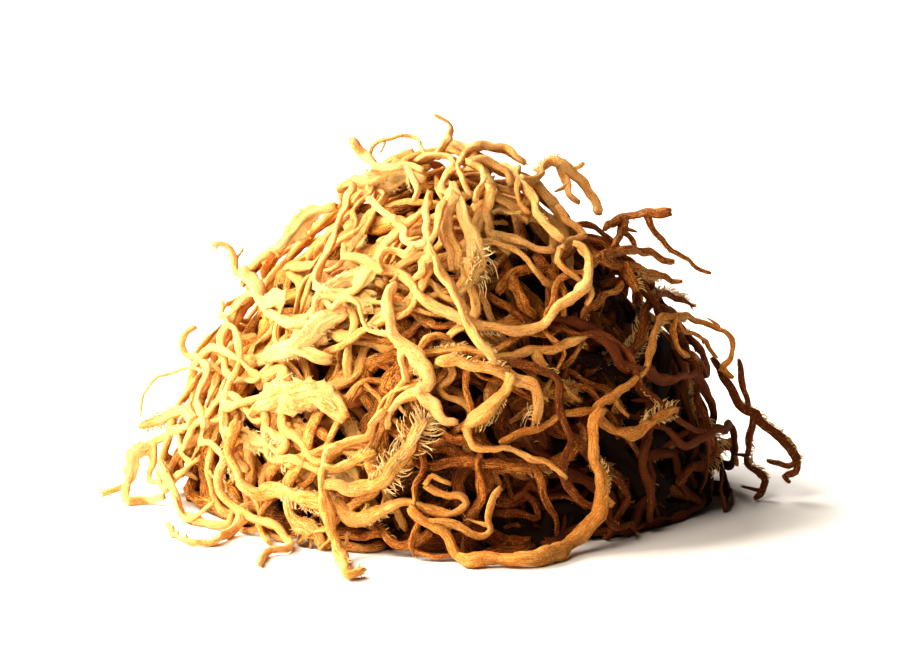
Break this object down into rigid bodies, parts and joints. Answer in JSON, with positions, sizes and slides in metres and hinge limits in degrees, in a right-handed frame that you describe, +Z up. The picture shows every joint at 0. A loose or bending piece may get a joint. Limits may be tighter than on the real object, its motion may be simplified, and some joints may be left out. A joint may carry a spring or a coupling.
{
  "type": "seaweed heap",
  "caption": "Loose tangled heap of dried, branched golden sea-moss fronds that lie over and under each other, with gaps between the strands, resting on a table.",
  "frame": {"origin": "on the table, under the middle of the heap's mound", "axes": "+Z up from the table, +X along the heap's longest extent to the right as seen in the front view, -Y to the side that the front view shows"},
  "size_m": [0.1761, 0.1441, 0.0976],
  "materials": {
    "pale_frond": "dry, slightly waxy straw-gold seaweed",
    "amber_frond": "dry, slightly waxy amber seaweed",
    "inner_frond": "dry dark amber seaweed in the depth of the heap"
  },
  "bodies": {
    "root": {"inner_tangle": "inner_frond", "outer_frond_01": "pale_frond", "outer_frond_02": "amber_frond", "outer_frond_03": "pale_frond", "outer_frond_04": "pale_frond", "outer_frond_05": "amber_frond", "outer_frond_06": "pale_frond", "outer_frond_07": "pale_frond", "outer_frond_08": "amber_frond", "outer_frond_09": "pale_frond", "outer_frond_10": "pale_frond", "outer_frond_11": "amber_frond", "outer_frond_12": "pale_frond", "outer_frond_13": "pale_frond", "outer_frond_14": "amber_frond", "outer_frond_15": "pale_frond", "outer_frond_16": "pale_frond", "outer_frond_17": "amber_frond", "outer_frond_18": "pale_frond", "floor_back_right": "amber_frond", "floor_dip": "amber_frond", "left_prong": "pale_frond", "right_arm": "amber_frond", "lower_fork": "amber_frond", "hollow_arch": "amber_frond", "left_curl": "pale_frond", "left_drop": "pale_frond", "upper_left_edge": "pale_frond", "top_left_fuzz": "pale_frond", "crest": "pale_frond", "top_stick": "pale_frond", "frayed_slope": "pale_frond", "tuft_drop": "pale_frond", "leafy_left": "pale_frond", "amber_broad": "amber_frond", "left_small": "amber_frond", "left_comb": "pale_frond", "left_foot": "pale_frond", "pale_flake": "pale_frond", "wide_wave": "pale_frond", "lower_level": "amber_frond", "knob_strand": "amber_frond", "right_comb": "amber_frond", "ring_eye": "pale_frond", "ring_strand": "pale_frond", "right_stick": "amber_frond", "right_prongs": "amber_frond", "comb_arch": "amber_frond", "curved_stub": "amber_frond", "bowl": "pale_frond", "right_loop": "pale_frond", "long_level": "pale_frond", "rough_strand": "pale_frond", "white_fork": "pale_frond", "pale_sweep": "pale_frond", "brush_foot": "pale_frond", "floor_loop": "pale_frond"}
  },
  "joints": []
}
